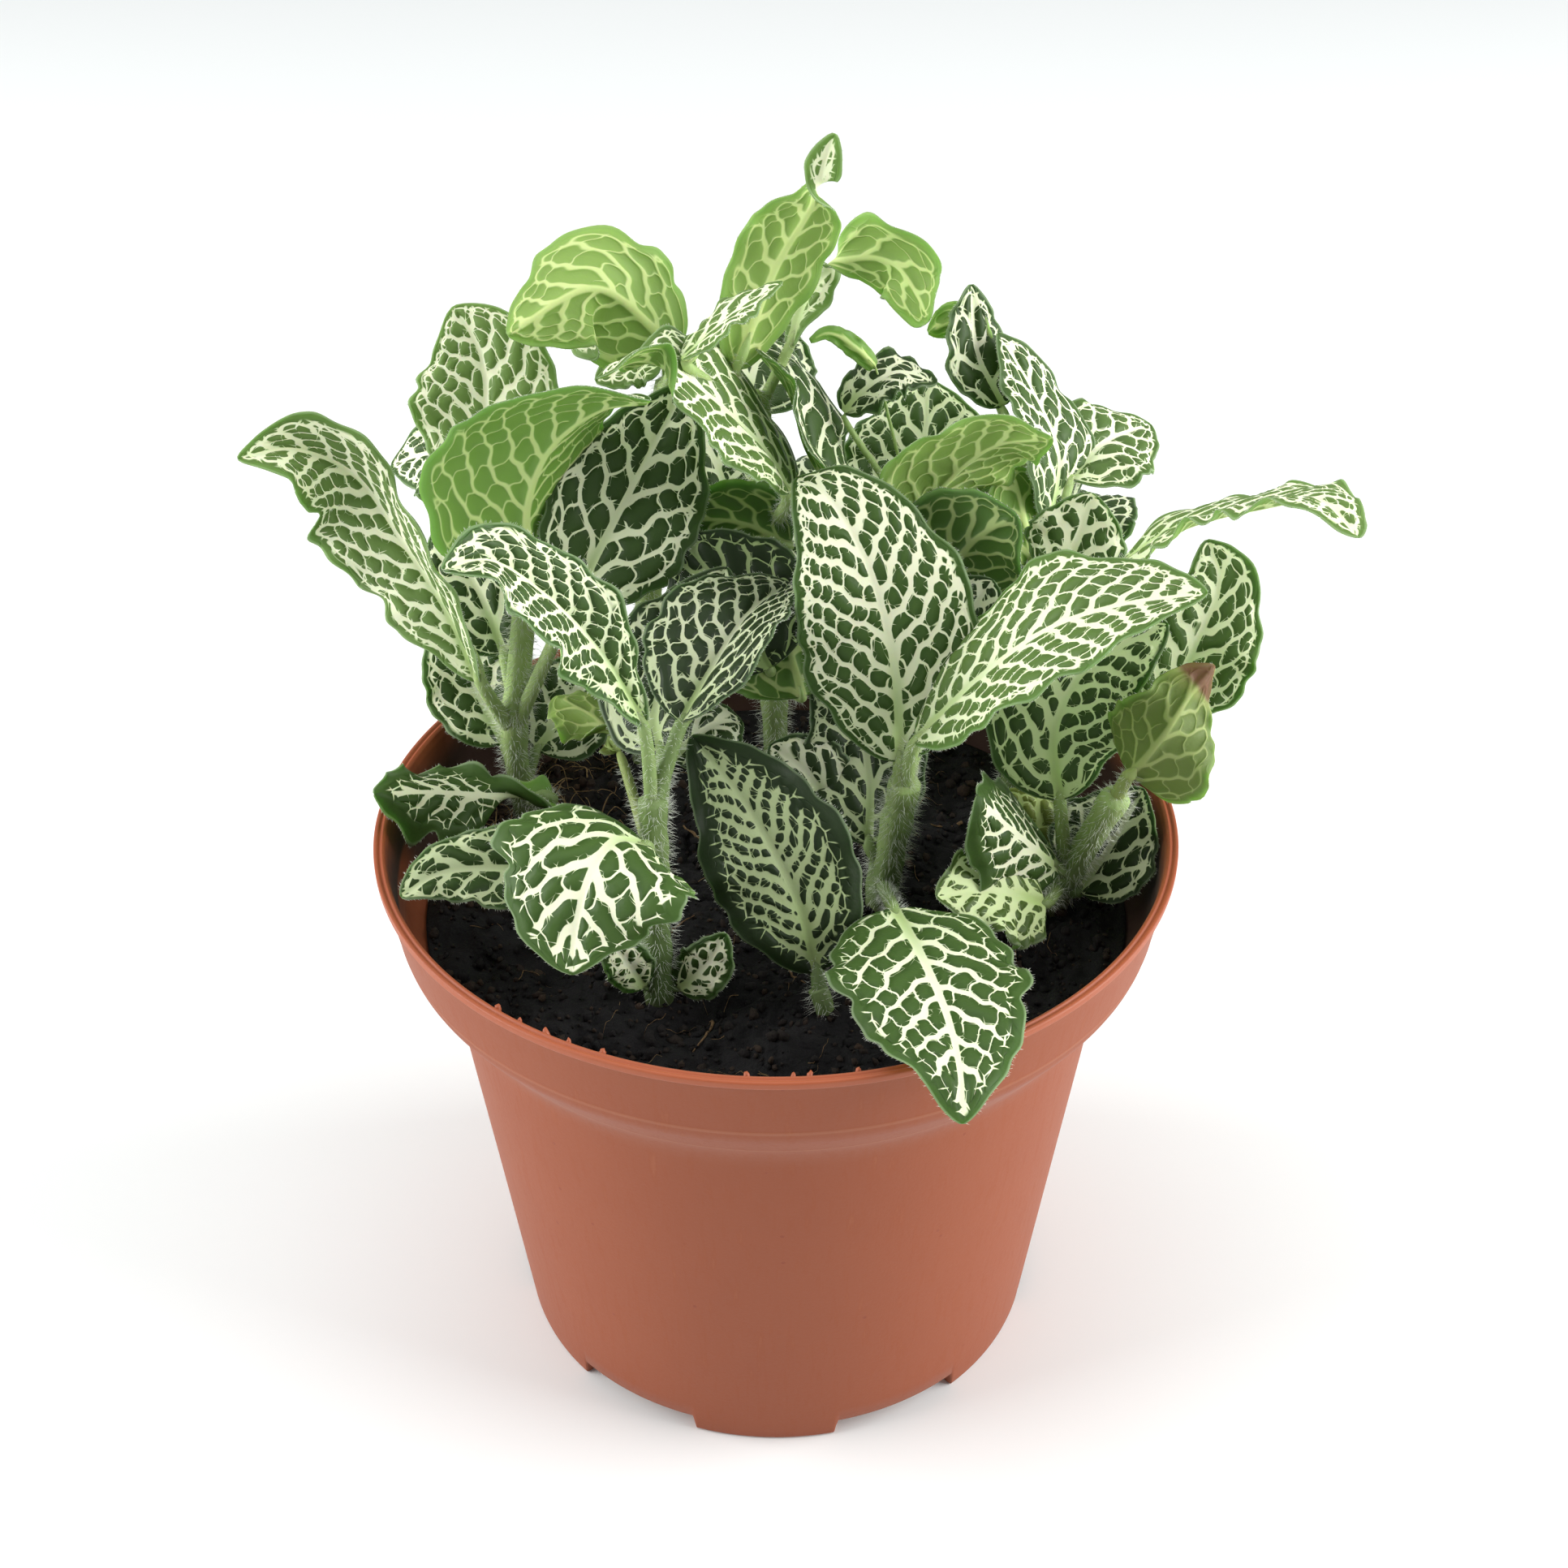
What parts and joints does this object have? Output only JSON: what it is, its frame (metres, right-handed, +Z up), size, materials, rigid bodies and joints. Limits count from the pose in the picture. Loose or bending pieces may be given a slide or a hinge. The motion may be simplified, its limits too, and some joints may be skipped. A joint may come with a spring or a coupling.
{
  "type": "potted nerve plant",
  "caption": "Bushy nerve plant with dark green leaves netted in cream veins, growing in peat in a round terracotta-coloured plastic nursery pot.",
  "frame": {"origin": "on the pot's axis, at the level of the underside of the pot's feet, which is also the centre of the bottom of the whole box", "axes": "+Z up along the pot's axis; -Y to the front, where the broad leaf hangs over the rim; +X to the right as seen from the front"},
  "size_m": [0.1549, 0.1342, 0.1893],
  "materials": {
    "pot": "moulded polypropylene, terracotta colour, satin matt",
    "soil": "moist dark peat with fibres",
    "leaf": "dark green blades with a net of cream veins, soft sheen, hairy light green stalks"
  },
  "bodies": {
    "root": {"pot": "pot", "soil": "soil", "stem_left": "leaf", "stem_front_left": "leaf", "leaf_front": "leaf", "stem_centre": "leaf", "stem_right": "leaf", "stem_back_left": "leaf", "stem_back_centre": "leaf", "stem_back_right": "leaf", "stem_right_back": "leaf", "stem_far_right": "leaf"}
  },
  "joints": []
}
